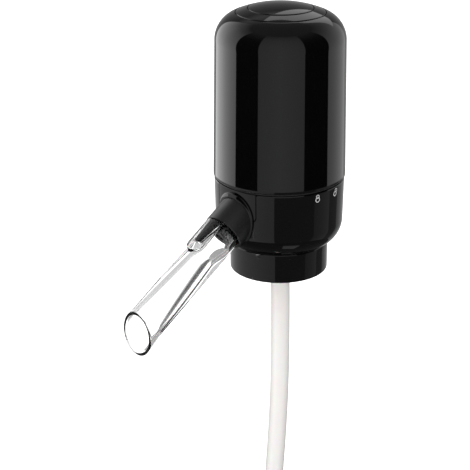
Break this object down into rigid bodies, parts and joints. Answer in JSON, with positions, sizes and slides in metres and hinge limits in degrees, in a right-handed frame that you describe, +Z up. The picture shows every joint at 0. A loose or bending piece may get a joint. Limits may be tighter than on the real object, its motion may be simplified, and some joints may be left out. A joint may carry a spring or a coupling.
{
  "type": "electric wine aerator",
  "caption": "Battery pump head that sits on a bottle, presses air in at a button's touch and pours the wine from a dip hose through a clear spout",
  "frame": {"origin": "On the body axis, at the mouth plane of the bottle collar", "axes": "+Z up along the body axis, spout towards -Y, X completes the right-handed frame"},
  "size_m": [0.06, 0.1184, 0.35],
  "materials": {
    "gloss_black": "polished moulded plastic",
    "satin_black": "satin moulded plastic",
    "clear_plastic": "clear polished acrylic",
    "soft_tube": "milky silicone tube",
    "black_rubber": "soft moulded rubber",
    "pale_plastic": "moulded",
    "steel": "plated",
    "magnet": "sintered",
    "bronze": "sintered bronze and copper",
    "cell": "plain sleeve",
    "board_green": "coated board",
    "red_plastic": "moulded",
    "mark_grey": "printed"
  },
  "bodies": {
    "pump_body": {"lower_casing": "gloss_black", "bottle_collar": "gloss_black", "spout_saddle": "gloss_black", "spout_hub": "satin_black", "hub_nozzle": "satin_black", "air_tongue": "satin_black", "bulkhead": "satin_black", "battery_holder": "satin_black", "tact_switch": "satin_black", "black_lead": "satin_black", "dip_hose": "soft_tube", "wine_elbow": "soft_tube", "casing_gasket": "black_rubber", "bottle_seal": "black_rubber", "nozzle_o_ring": "black_rubber", "pump_diaphragm": "black_rubber", "hose_barb": "pale_plastic", "air_port": "pale_plastic", "pump_head": "pale_plastic", "pump_cover": "pale_plastic", "wobble_plate": "pale_plastic", "motor_end_cap": "pale_plastic", "board_screws": "steel", "battery_springs": "steel", "battery_contacts": "steel", "holder_screws": "steel", "bulkhead_screws": "steel", "collar_screws": "steel", "bracket_screws": "steel", "pump_screws": "steel", "motor_screws": "steel", "motor_can": "steel", "pump_bracket": "steel", "motor_magnets": "magnet", "motor_bushes": "bronze", "batteries": "cell", "switch_board": "board_green", "red_lead": "red_plastic", "lock_marks": "mark_grey"},
    "casing": {"upper_casing": "gloss_black", "button_ring": "gloss_black", "button_guide": "satin_black", "guide_screws": "steel", "button_spring": "steel"},
    "button": {"power_button": "satin_black", "switch_plunger": "red_plastic"},
    "spout": {"clear_spout": "clear_plastic"},
    "rotor": {"motor_shaft": "steel", "armature": "bronze", "crank": "pale_plastic"}
  },
  "joints": [
    {"name": "casing_twist", "type": "hinge", "parent": "pump_body", "child": "casing", "pos_m": [0, 0, 0.05], "axis": [0, 0, 1], "range_deg": [0, 22]},
    {"name": "button_press", "type": "slide", "parent": "casing", "child": "button", "axis": [0, 0, -1], "range_m": [0, 0.0012], "stiffness_N_per_m": 1200, "springref_m": -0.0005, "deforming": ["button_spring"]},
    {"name": "spout_pull", "type": "slide", "parent": "pump_body", "child": "spout", "axis": [0, -0.8599, -0.5105], "range_m": [0, 0.014]},
    {"name": "rotor_spin", "type": "hinge", "parent": "pump_body", "child": "rotor", "pos_m": [0, 0.014, 0.04], "axis": [0, 0, 1], "continuous": true}
  ]
}
